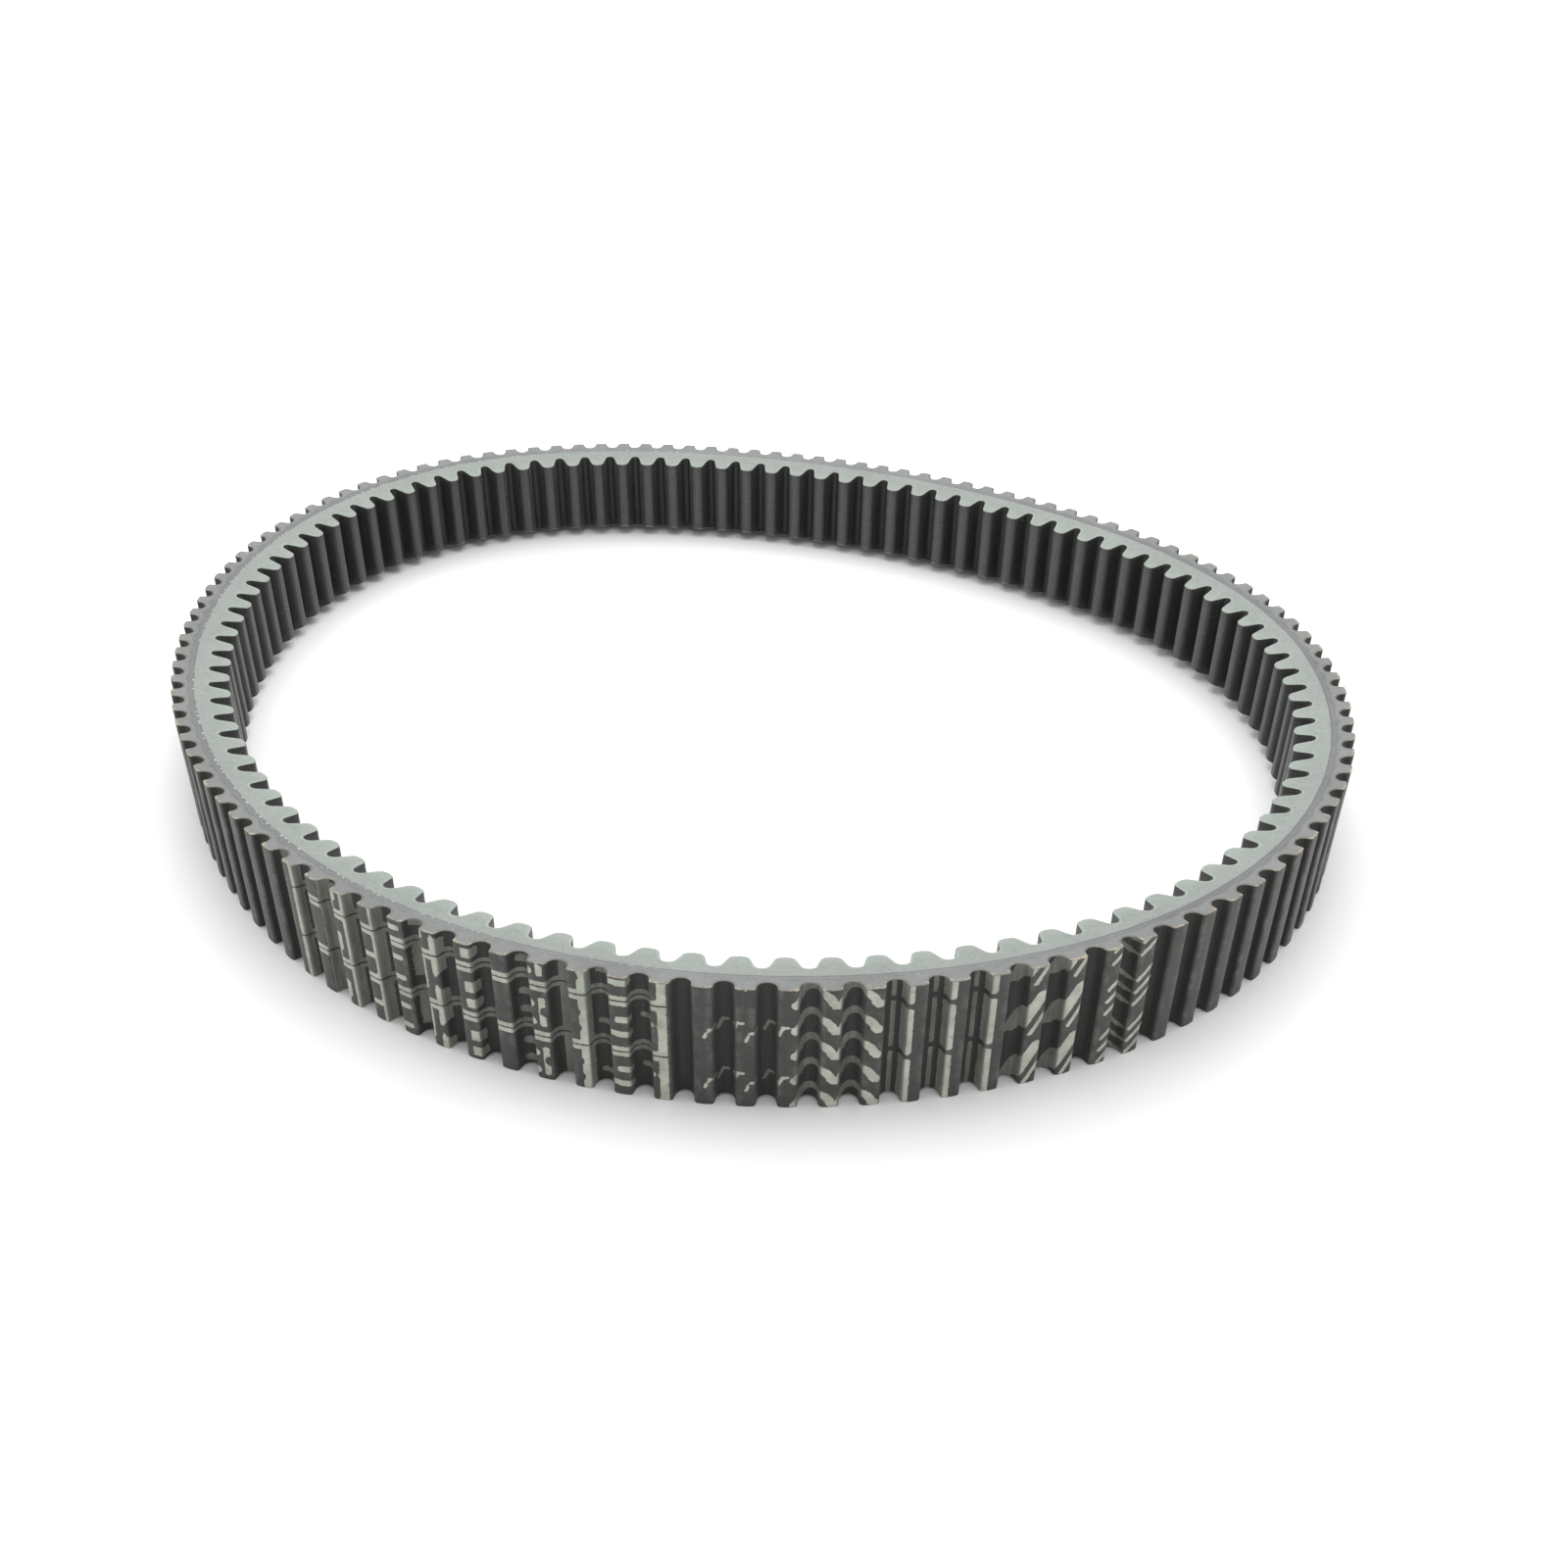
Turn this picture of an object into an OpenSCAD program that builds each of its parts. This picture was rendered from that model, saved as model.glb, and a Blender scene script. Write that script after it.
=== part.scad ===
/* [Loop] */
// Circumference round the tips of the outer cogs
outer_length = 1158; // [1100:1:1220]
// How far the relaxed loop bulges into an oval
oval_bulge = 14.5; // [0:0.5:18]
// Direction of the oval's long axis, in degrees from +X
oval_direction = 141.4; // [0:0.1:360]
// How far the relaxed loop bulges into an egg
egg_bulge = 5; // [0:0.25:6]
// Direction of the egg's pointed end, in degrees from +X
egg_direction = 129; // [0:1:360]
// How far the relaxed loop bulges into a square
square_bulge = 1.2; // [0:0.1:1.5]
// Direction of one of the four square bulges, in degrees from +X
square_direction = 118; // [0:1:360]
// How far the relaxed loop bulges into a pentagon
pentagon_bulge = 0.7; // [0:0.1:0.9]
// Direction of one of the five pentagon bulges, in degrees from +X
pentagon_direction = 98; // [0:1:360]

/* [Section] */
// Width of the belt across its back, at the outer cog tips
top_width = 35.6; // [33:0.1:38]
// Thickness from the outer cog tips to the inner cog tips
thickness = 16.6; // [16:0.1:17.5]
// Depth of the cord line below the outer cog tips
cord_depth = 6.3; // [6.2:0.1:6.6]
// Slope of each side above the cord line, in degrees from square
upper_side_angle = 10; // [5:0.5:14]
// Slope of each side below the cord line, where the pulleys grip, in degrees from square
lower_side_angle = 15; // [11:0.5:17]
// Thickness of the facing cloth on both cogged faces
facing_thickness = 0.7; // [0.5:0.1:0.8]
// Thickness of the cushion gum between the outer cog rubber and the cord line
upper_cushion = 1.4; // [1.2:0.1:1.5]
// Thickness of the cushion gum between the cord line and the inner cog rubber
lower_cushion = 1.2; // [1:0.1:1.5]

/* [Outer cogs] */
// Number of cogs round the back
outer_cogs = 119; // [110:1:124]
// Depth of the valleys between them
outer_valley_depth = 3.6; // [3.3:0.1:3.8]
// Radius of the round bottom of each valley
outer_valley_radius = 2.6; // [2.4:0.1:2.7]
// Width of each valley at its mouth
outer_valley_mouth = 5.7; // [5.4:0.1:6]
// Where the first cog lies along the cord line from the +X side
outer_phase = 5.8; // [0:0.1:9.4]

/* [Inner cogs] */
// Number of cogs round the inside
inner_cogs = 100; // [92:1:104]
// Depth of the valleys between them
inner_valley_depth = 6.1; // [5.6:0.1:6.4]
// Radius of the round bottom of each valley
inner_valley_radius = 1.8; // [1.5:0.1:2]
// Width of each valley at its mouth, where its walls would meet the cog tips if not rounded
inner_valley_mouth = 6.4; // [6:0.1:6.8]
// Radius that rounds the corners of each cog
inner_corner_radius = 1.3; // [1:0.1:1.4]
// Where the first cog lies along the cord line from the +X side
inner_phase = 10.3; // [0:0.1:11.1]

/* [Tension cords] */
// Turns of cord across the width
cord_turns = 22; // [18:1:22]
// Diameter of the twisted cord
cord_diameter = 1.2; // [1:0.05:1.25]
// Gum left between the outermost turns and the ground sides
edge_margin = 0.05; // [0.05:0.05:0.3]

/* [Hidden] */
ring_fn = 96;
cord_fn = 24;

function two_digits(number) = str(number < 10 ? "0" : "", number);
CORDS = [for (turn = [1:cord_turns]) str("tension_cord_", two_digits(turn))];

arc_count = 16;
arc_sweep = 360 / arc_count;
// Each arc stops about two thousandths of a millimetre short of the next, in degrees, so that the
// end faces never overlap.
seam = 0.0006;
overshoot = 1;
mean_tip_radius = outer_length / (2 * PI);

// Depths below the outer cog tips.
outer_rubber_bottom = cord_depth - upper_cushion;
cord_top = cord_depth - cord_diameter / 2;
cord_bottom = cord_depth + cord_diameter / 2;
inner_rubber_top = cord_depth + lower_cushion;
inner_valley_bottom = thickness - inner_valley_depth;

cord_pitch = (width_at(cord_bottom) - cord_diameter - 2 * edge_margin) / (cord_turns - 1);

// A valley's round bottom is drawn as flats between these turns on either side, in degrees.
bottom_turns = [62, 22];
// A cord's bed is half of an octagon. A flat reaches this far from its middle, in degrees.
bed_turn = 22.5;
// The cog rubbers' hidden flat faces have their points this share of a cog pitch from a valley's middle.
level_reach = 0.34;

function unit(angle) = [cos(angle), sin(angle)];

// Width of the belt at a depth: two slopes that meet at the cord line.
function width_at(depth) =
    top_width
    - 2 * tan(upper_side_angle) * min(depth, cord_depth)
    - 2 * tan(lower_side_angle) * max(depth - cord_depth, 0);
function upper_side(depth) = (top_width + width_at(depth)) / 2;
function lower_side(depth) = (top_width - width_at(depth)) / 2;

// The relaxed outline is a closed chain of tangent arcs, each turning by the same angle. The bulges
// are harmonics of the turning angle, so the chain always closes and keeps its length.
function bulge_radius(order, amount, direction, angle) =
    amount * (1 - order * order) * cos(order * (angle - direction));
arc_radii = [
    for (i = [0:arc_count - 1])
        let (angle = (i + 0.5) * arc_sweep)
        mean_tip_radius
        + bulge_radius(2, oval_bulge, oval_direction, angle)
        + bulge_radius(3, egg_bulge, egg_direction, angle)
        + bulge_radius(4, square_bulge, square_direction, angle)
        + bulge_radius(5, pentagon_bulge, pentagon_direction, angle)
];
function chain_point(i) =
    i == 0 ? [0, 0]
    : chain_point(i - 1) + arc_radii[i - 1] * (unit(i * arc_sweep) - unit((i - 1) * arc_sweep));
outline_centre = [
    (chain_point(0).x + chain_point(arc_count / 2).x) / 2,
    (chain_point(arc_count / 4).y + chain_point(3 * arc_count / 4).y) / 2
];
arc_centres = [
    for (i = [0:arc_count - 1]) chain_point(i) - arc_radii[i] * unit(i * arc_sweep) - outline_centre
];

// Distances along the cord line to the start of each arc, and to the end of the last.
function cord_length(i) =
    i == 0 ? 0 : cord_length(i - 1) + (arc_radii[i - 1] - cord_depth) * arc_sweep * PI / 180;
arc_starts = [for (i = [0:arc_count]) cord_length(i)];
belt_length = arc_starts[arc_count];
outer_cog_pitch = belt_length / outer_cogs;
inner_cog_pitch = belt_length / inner_cogs;

function wrapped(distance) = distance % belt_length;
function arc_at(distance) = max([for (i = [0:arc_count - 1]) if (arc_starts[i] <= distance) i]);
function angle_at(distance) =
    let (i = arc_at(distance))
    i * arc_sweep + (distance - arc_starts[i]) / (arc_radii[i] - cord_depth) * 180 / PI;

// The whole section cut down to the layer between two depths. X is the height above the outer cog
// tips, so it is negative inside the belt, and Y is the height above the surface the belt lies on.
module layer_section(from_depth, to_depth) {
    bends = from_depth < cord_depth && cord_depth < to_depth ? [cord_depth] : [];
    depths = concat([from_depth], bends, [to_depth]);
    last = len(depths) - 1;
    upper = [for (depth = depths) [-depth, upper_side(depth)]];
    lower = [for (i = [last:-1:0]) [-depths[i], lower_side(depths[i])]];
    polygon(concat(upper, lower));
}

module sweep_round_loop() {
    for (i = [0:arc_count - 1])
        translate(arc_centres[i])
            rotate([0, 0, i * arc_sweep])
                rotate_extrude(angle = arc_sweep - seam, $fn = ring_fn)
                    translate([arc_radii[i], 0])
                        children();
}

module layer(from_depth, to_depth) {
    sweep_round_loop() layer_section(from_depth, to_depth);
}

// How far the straight wall between a valley's round bottom and its mouth leans, in degrees.
function wall_lean(bottom, radius, mouth_half, mouth_depth) =
    atan(
        (mouth_half - radius * sin(bottom_turns[0]))
        / (abs(bottom - mouth_depth) - radius * (1 - cos(bottom_turns[0])))
    );

// Half of a valley's profile from its mouth to its bottom, as [distance across, depth]. The bottom
// is round, the walls are straight and open towards the mouth, and a flat stands for a round corner.
function half_profile(bottom, radius, mouth_half, mouth_depth, corner) =
    let (
        side = sign(bottom - mouth_depth),
        centre = bottom - side * radius,
        lean = wall_lean(bottom, radius, mouth_half, mouth_depth),
        cut = corner * tan(45 - lean / 2),
        wall_end = [mouth_half - cut * sin(lean), mouth_depth + side * cut * cos(lean)]
    )
    concat(
        [[mouth_half + cut, mouth_depth]],
        corner > 0 ? [wall_end] : [],
        [for (turn = bottom_turns) [radius * sin(turn), centre + side * radius * cos(turn)]]
    );
function profile(bottom, radius, mouth_half, mouth_depth, corner) =
    let (half = half_profile(bottom, radius, mouth_half, mouth_depth, corner), last = len(half) - 1)
    concat(
        [for (i = [0:last]) [-half[i].x, half[i].y]],
        [for (i = [last:-1:0]) half[i]]
    );

// The back of the cloth: the face's profile carried one thickness into the rubber.
function cloth_back(bottom, radius, mouth_half, mouth_depth, corner) =
    let (
        side = sign(bottom - mouth_depth),
        lean = wall_lean(bottom, radius, mouth_half, mouth_depth)
    )
    profile(
        bottom + side * facing_thickness,
        radius + facing_thickness,
        mouth_half + facing_thickness * tan(45 - lean / 2),
        mouth_depth + side * facing_thickness,
        max(corner - facing_thickness, 0)
    );

// The two sides of each cloth. The outer cogs' small corners are left square.
outer_cloth_face = profile(outer_valley_depth, outer_valley_radius, outer_valley_mouth / 2, 0, 0);
outer_cloth_back = cloth_back(outer_valley_depth, outer_valley_radius, outer_valley_mouth / 2, 0, 0);
inner_cloth_face = profile(
    inner_valley_bottom,
    inner_valley_radius,
    inner_valley_mouth / 2,
    thickness,
    inner_corner_radius
);
inner_cloth_back = cloth_back(
    inner_valley_bottom,
    inner_valley_radius,
    inner_valley_mouth / 2,
    thickness,
    inner_corner_radius
);

// The profile's points in plan, for every valley in turn, as [x, y, depth].
function face_line(count, pitch, phase, shape) = [
    for (n = [0:count - 1])
        let (
            distance = wrapped(phase + (n + 0.5) * pitch),
            i = arc_at(distance),
            angle = angle_at(distance)
        )
        for (p = shape)
            let (plan = arc_centres[i] + (arc_radii[i] - p.y) * unit(angle) + p.x * unit(angle + 90))
            [plan.x, plan.y, p.y]
];

// Points at one depth, on either side of the middle of every valley.
function level_line(count, pitch, phase, depth) = [
    for (n = [0:count - 1])
        let (
            distance = wrapped(phase + (n + 0.5) * pitch),
            i = arc_at(distance),
            angle = angle_at(distance),
            turn = level_reach * pitch / arc_radii[i] * 180 / PI
        )
        for (side = [-1, 1])
            let (plan = arc_centres[i] + (arc_radii[i] - depth) * unit(angle + side * turn))
            [plan.x, plan.y, depth]
];

// The lower and upper edges of a line, as points in pairs: the lower one first.
function edges(line) = [
    for (point = line, height = [lower_side(point.z), upper_side(point.z)])
        [point.x, point.y, height]
];

// Closed skin between two face lines that have the same number of points.
module skin(outside_line, inside_line) {
    stations = len(outside_line);
    inside = 2 * stations;
    faces = [
        for (k = [0:stations - 1])
            let (here = 2 * k, next = 2 * ((k + 1) % stations))
            each [
                [here, here + 1, next + 1, next],
                [here + 1, inside + here + 1, inside + next + 1, next + 1],
                [inside + here + 1, inside + here, inside + next, inside + next + 1],
                [inside + here, here, next, inside + next]
            ]
    ];
    polyhedron(concat(edges(outside_line), edges(inside_line)), faces, convexity = 4);
}

// Closed body between a face line and a level line, which has two points to every valley. The sides
// fan out from those two points. Inward is true where the face line is on the inside of the loop.
module body(face, level, points_per_valley, inward) {
    stations = len(face);
    valleys = stations / points_per_valley;
    level_start = 2 * stations;
    steps = [0:points_per_valley - 1];
    faces = [
        for (v = [0:valleys - 1])
            let (
                first = v * points_per_valley,
                following = ((v + 1) % valleys) * points_per_valley,
                middle = first + points_per_valley / 2,
                left = level_start + 4 * v,
                right = left + 2,
                after = level_start + 4 * ((v + 1) % valleys),
                here = [for (k = steps) 2 * (first + k)],
                next = [for (k = steps) 2 * ((first + k + 1) % stations)],
                hub = [for (k = steps) first + k < middle ? left : right]
            )
            each concat(
                [for (k = steps) [here[k], here[k] + 1, next[k] + 1, next[k]]],
                [for (k = steps) [next[k] + 1, here[k] + 1, hub[k] + 1]],
                [for (k = steps) [here[k], next[k], hub[k]]],
                [
                    [2 * middle + 1, left + 1, right + 1],
                    [2 * middle, right, left],
                    [2 * following + 1, right + 1, after + 1],
                    [2 * following, after, right],
                    [left + 1, left, right, right + 1],
                    [right + 1, right, after, after + 1]
                ]
            )
    ];
    polyhedron(
        concat(edges(face), edges(level)),
        inward ? [for (f = faces) [for (k = [len(f) - 1:-1:0]) f[k]]] : faces,
        convexity = 4
    );
}

// Cloth that wraps the outer cogs and lines the valleys between them.
module outer_facing_cloth() {
    color([0.20, 0.19, 0.18])
        skin(
            face_line(outer_cogs, outer_cog_pitch, outer_phase, outer_cloth_face),
            face_line(outer_cogs, outer_cog_pitch, outer_phase, outer_cloth_back)
        );
}

// Rubber body of the outer cogs.
module outer_cog_rubber() {
    color([0.42, 0.40, 0.41])
        body(
            face_line(outer_cogs, outer_cog_pitch, outer_phase, outer_cloth_back),
            level_line(outer_cogs, outer_cog_pitch, outer_phase, outer_rubber_bottom),
            len(outer_cloth_back),
            false
        );
}

// Soft gum that bonds the cords to the outer cog rubber.
module upper_cushion_gum() {
    color([0.30, 0.30, 0.31])
        layer(outer_rubber_bottom, cord_top);
}

function cord_height(turn) = top_width / 2 + (turn - (cord_turns - 1) / 2) * cord_pitch;

// One turn of the tension cord.
module tension_cord(turn) {
    color([0.80, 0.76, 0.62])
        sweep_round_loop()
            translate([-cord_depth, cord_height(turn)])
                circle(d = cord_diameter, $fn = cord_fn);
}

// The bed that a turn lies in: flats against its lower half, and straight sides up to the gum above.
function cord_bed(turn) =
    let (
        half = cord_diameter / 2,
        flat = half * tan(bed_turn),
        height = cord_height(turn),
        open = -cord_top + overshoot
    )
    [
        [open, height + half],
        [-cord_depth - flat, height + half],
        [-cord_bottom, height + flat],
        [-cord_bottom, height - flat],
        [-cord_depth - flat, height - half],
        [open, height - half]
    ];

// Soft gum that beds every turn of the cord and bonds them to the inner cog rubber.
module lower_cushion_gum() {
    color([0.36, 0.37, 0.36])
        sweep_round_loop()
            difference() {
                layer_section(cord_top, inner_rubber_top);
                for (turn = [0:cord_turns - 1])
                    polygon(cord_bed(turn));
            }
}

// Fibre-filled rubber body below the cords, with the inner cogs.
module inner_cog_rubber() {
    color([0.60, 0.63, 0.58])
        body(
            face_line(inner_cogs, inner_cog_pitch, inner_phase, inner_cloth_back),
            level_line(inner_cogs, inner_cog_pitch, inner_phase, inner_rubber_top),
            len(inner_cloth_back),
            true
        );
}

// Cloth that wraps the inner cogs and lines the valleys between them.
module inner_facing_cloth() {
    color([0.14, 0.14, 0.14])
        skin(
            face_line(inner_cogs, inner_cog_pitch, inner_phase, inner_cloth_back),
            face_line(inner_cogs, inner_cog_pitch, inner_phase, inner_cloth_face)
        );
}

outer_facing_cloth();
outer_cog_rubber();
upper_cushion_gum();
for (turn = [0:cord_turns - 1])
    tension_cord(turn);
lower_cushion_gum();
inner_cog_rubber();
inner_facing_cloth();
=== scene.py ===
import math

import bpy
import numpy as np
from mathutils import Matrix, Vector, noise


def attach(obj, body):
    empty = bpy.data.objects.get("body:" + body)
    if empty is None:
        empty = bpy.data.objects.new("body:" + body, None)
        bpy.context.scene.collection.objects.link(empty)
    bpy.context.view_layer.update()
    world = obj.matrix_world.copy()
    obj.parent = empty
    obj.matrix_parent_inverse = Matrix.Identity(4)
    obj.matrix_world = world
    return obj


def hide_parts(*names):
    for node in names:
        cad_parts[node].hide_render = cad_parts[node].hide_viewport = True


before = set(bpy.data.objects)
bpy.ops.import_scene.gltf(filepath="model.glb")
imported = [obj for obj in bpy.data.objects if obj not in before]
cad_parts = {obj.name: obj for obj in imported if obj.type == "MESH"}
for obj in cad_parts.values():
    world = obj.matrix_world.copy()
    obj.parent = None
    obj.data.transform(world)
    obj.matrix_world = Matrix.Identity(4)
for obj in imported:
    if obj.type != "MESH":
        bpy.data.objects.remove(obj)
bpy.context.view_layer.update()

MM = 0.001
BODY = "root"

# ---------------------------------------------------------------- belt lines, in millimetres
ARCS = 16
SWEEP = 2 * math.pi / ARCS
OUTER_LENGTH = 1158.0
BULGES = ((2, 14.5, 141.4), (3, 5.0, 129.0), (4, 1.2, 118.0), (5, 0.7, 98.0))
WIDTH = 35.6
THICK = 16.6
CORD = 6.3
UPPER_SLOPE = math.tan(math.radians(10))
LOWER_SLOPE = math.tan(math.radians(15))
CLOTH = 0.7
OUTER_COGS = 119
INNER_COGS = 100
OUTER_PHASE = 5.8
INNER_PHASE = 10.3
OUTER_RUBBER_END = 4.9
INNER_RUBBER_START = 7.5
# Cog valleys: depth, radius of the round bottom, half the mouth's width, radius of the cogs' corners,
# and how far a cog's tip falls away towards its corners.
OUTER_VALLEY = (3.55, 2.35, 2.6, 1.0, 0.08)
INNER_VALLEY = (6.1, 1.8, 3.2, 2.1, 0.22)
# Points along half a cog: on its corner and on the valley's round bottom.
CORNER_POINTS = 7
BOTTOM_POINTS = 8
# Depth of the dents in a cloth's face, and how far its worn edge is set back.
OUTER_DENT = 0.07
INNER_DENT = 0.06
WORN_EDGE = 0.13
# Rows of faces across a cloth: fine enough to carry the edges of the ink, and plain.
INK_ROWS = 142
PLAIN_ROWS = 9
# Cord distances between which the back is printed.
PRINT_START = 720.0
PRINT_END = 956.0

mids = (np.arange(ARCS) + 0.5) * SWEEP
radii = np.full(ARCS, OUTER_LENGTH / (2 * math.pi))
for order, amount, direction in BULGES:
    radii = radii + amount * (1 - order * order) * np.cos(order * (mids - math.radians(direction)))
corners = np.zeros((ARCS + 1, 2))
for i in range(ARCS):
    a, b = i * SWEEP, (i + 1) * SWEEP
    corners[i + 1] = corners[i] + radii[i] * np.array([math.cos(b) - math.cos(a), math.sin(b) - math.sin(a)])
middle = np.array([(corners[0, 0] + corners[8, 0]) / 2, (corners[4, 1] + corners[12, 1]) / 2])
turns = np.arange(ARCS) * SWEEP
centres = corners[:ARCS] - radii[:, None] * np.stack([np.cos(turns), np.sin(turns)], 1) - middle
starts = np.concatenate([[0.0], np.cumsum((radii - CORD) * SWEEP)])
LENGTH = float(starts[-1])


def arc_of(s):
    return np.clip(np.searchsorted(starts, np.mod(s, LENGTH), side="right") - 1, 0, ARCS - 1)


def place(s, depth):
    """Plan point of a cord distance and a depth below the outer cog tips."""
    s = np.asarray(s, float)
    i = arc_of(s)
    angle = i * SWEEP + (np.mod(s, LENGTH) - starts[i]) / (radii[i] - CORD)
    reach = radii[i] - depth
    return centres[i] + reach[:, None] * np.stack([np.cos(angle), np.sin(angle)], 1)


def upper(depth):
    depth = np.asarray(depth, float)
    return WIDTH - UPPER_SLOPE * np.minimum(depth, CORD) - LOWER_SLOPE * np.maximum(depth - CORD, 0)


def lower(depth):
    return WIDTH - upper(depth)


# ---------------------------------------------------------------- cog profiles
def wall_contact(depth, radius, mouth):
    """Turn at which a wall leaves a valley's round bottom, and how far the wall leans."""
    reach = math.hypot(mouth, depth - radius)
    turn = math.atan2(mouth, radius - depth) - math.acos(radius / reach)
    return turn, math.pi / 2 - turn


def valley_side(depth, radius, mouth, corner, tip_half, crown):
    """Half a pitch from the tip's middle to the valley's middle: distance from it, depth of cut."""
    turn, lean = wall_contact(depth, radius, mouth)
    cut = corner * math.tan((math.pi / 2 - lean) / 2)
    start = mouth + cut
    points = [(tip_half, 0.0), ((tip_half * 2 + start) / 3, crown * 0.3)]
    sweep = math.pi / 2 - lean
    for k in np.linspace(0, 1, CORNER_POINTS):
        a = sweep * k
        points.append((start - corner * math.sin(a), corner * (1 - math.cos(a)) + crown * (1 - k)))
    wall = (radius * math.sin(turn), depth - radius * (1 - math.cos(turn)))
    low = points[-1]
    points.append(((low[0] + wall[0]) / 2, (low[1] + wall[1]) / 2))
    for a in np.linspace(turn, 0, BOTTOM_POINTS):
        points.append((radius * math.sin(a), depth - radius * (1 - math.cos(a))))
    return points


def loop_profile(count, phase, tip, inward, depth, radius, mouth, corner, crown):
    """Stations of the whole loop, as cord distance and depth, from one tip's middle onwards."""
    pitch = LENGTH / count
    all_s, all_d = [], []
    for n in range(count):
        mid = phase + (n + 0.5) * pitch
        local = float(radii[arc_of(np.array([mid]))][0])
        tip_half = pitch / 2 * (local - tip) / (local - CORD)
        half = valley_side(depth, radius, mouth, corner, tip_half, crown)
        left = [(-x, d) for x, d in half]
        right = [(x, d) for x, d in reversed(half[1:-1])]
        for x, d in left + right:
            d = tip + inward * d
            all_s.append(mid + x * (local - CORD) / (local - d))
            all_d.append(d)
    return np.array(all_s), np.array(all_d)


def cloth_profiles(count, phase, tip, inward, depth, radius, mouth, corner, crown):
    """The face of a cloth and its back, one cloth's thickness further in."""
    lean = wall_contact(depth, radius, mouth)[1]
    face = loop_profile(count, phase, tip, inward, depth, radius, mouth, corner, crown)
    back = loop_profile(
        count, phase, tip + inward * CLOTH, inward, depth, radius + CLOTH,
        mouth + CLOTH * math.tan((math.pi / 2 - lean) / 2), max(corner - CLOTH, 0.05), 0.0,
    )
    return face, back


def closed(values, span=0.0):
    """The values with the first one again at the end, one turn of the loop later."""
    return np.append(values, values[0] + span)


def rough(s, z, scale, seed):
    """Smooth noise along the belt that closes on itself."""
    turn = 2 * math.pi * s / LENGTH
    reach = LENGTH / (2 * math.pi) * scale
    return noise.noise(Vector((math.cos(turn) * reach + seed, math.sin(turn) * reach, z * scale)))


# ---------------------------------------------------------------- ink on the back, as a distance
# The print repeats across the belt in rows of this height. Each group's first row starts at its own height.
ROW = 15.2
BLOCK_LINE = 13.6
ARCH_LINE = 14.4
# Bars right across a row of the first group: start and end along the belt.
BARS = ((722.9, 727.9), (730.2, 732.1), (777.0, 779.3), (814.2, 816.7), (832.3, 834.4))
# Blocks of the first group: start and end along the belt, start and end across it, corner radius.
BLOCKS = (
    (733.9, 736.6, 3.0, 6.4, 0.3), (733.9, 736.6, 8.0, 11.6, 0.3), (740.9, 742.3, 1.0, 14.2, 0.3),
    (742.0, 747.0, 1.4, 5.2, 0.8), (746.2, 748.0, 4.0, 9.6, 0.8), (749.4, 751.2, 1.4, 13.8, 0.3),
    (754.0, 755.4, 3.0, 12.0, 0.3), (755.4, 760.4, 6.6, 8.2, 0.7), (759.0, 760.8, 1.4, 13.8, 0.3),
    (764.2, 768.4, 3.6, 5.2, 0.3), (764.2, 768.4, 9.8, 11.4, 0.3), (769.6, 775.2, 4.4, 13.8, 0.6),
    (785.7, 788.6, 2.8, 5.6, 0.3), (785.7, 788.6, 7.6, 10.8, 0.3), (798.2, 803.6, 3.2, 5.4, 1.0),
    (798.2, 803.6, 8.6, 10.8, 1.0), (804.6, 806.2, 3.0, 12.0, 0.7), (808.6, 811.2, 1.0, 14.0, 0.3),
    (817.6, 822.6, 4.8, 6.4, 0.7), (822.6, 826.0, 4.4, 6.2, 0.3), (822.6, 826.0, 8.8, 10.6, 0.3),
    (827.6, 831.4, 8.6, 10.2, 0.7),
)
# Discs cut out of the first group: place along the belt and across it, radius.
NOTCHES = ((781.0, 7.6, 3.4), (806.6, 7.6, 1.7), (813.2, 5.2, 1.5), (813.2, 10.0, 1.5), (818.9, 9.6, 2.0))
# Short hooked dashes between the groups: place along the belt, and how far each is lifted.
DASHES = ((843.2, 0.0), (846.0, 0.8), (849.6, 2.6), (852.4, -0.4), (856.4, 0.6), (859.6, 1.6))


def box_field(s, t, s0, s1, t0, t1, r=0.25):
    dx = np.abs(s - (s0 + s1) / 2) - (s1 - s0) / 2 + r
    dy = np.abs(t - (t0 + t1) / 2) - (t1 - t0) / 2 + r
    return np.hypot(np.maximum(dx, 0), np.maximum(dy, 0)) + np.minimum(np.maximum(dx, dy), 0) - r


def disc_field(s, t, s0, t0, r):
    return np.hypot(s - s0, t - t0) - r


def band_field(s, t, s0, t0, s1, t1, half):
    dx, dy = s1 - s0, t1 - t0
    h = np.clip(((s - s0) * dx + (t - t0) * dy) / (dx * dx + dy * dy), 0, 1)
    return np.hypot(s - s0 - h * dx, t - t0 - h * dy) - half


def block_group(s, z):
    """First group: a stripe along each row, bars across it and blocks, less some discs and a thin gap."""
    t = np.mod(z - BLOCK_LINE + ROW / 2, ROW) - ROW / 2
    shapes = [box_field(s, t, 731.5, 834.2, -1.45, 1.5)]
    for s0, s1 in BARS:
        shapes.append(box_field(s, t, s0, s1, -9.0, 9.0))
    for s0, s1, t0, t1, r in BLOCKS:
        for shift in (0.0, ROW):
            shapes.append(box_field(s, t, s0, s1, t0 - shift, t1 - shift, r))
    group = np.minimum.reduce(shapes)
    for s0, t0, r in NOTCHES:
        for shift in (0.0, ROW):
            group = np.maximum(group, -disc_field(s, t, s0, t0 - shift, r))
    return np.maximum(group, -(np.abs(t) - 0.24))


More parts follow.
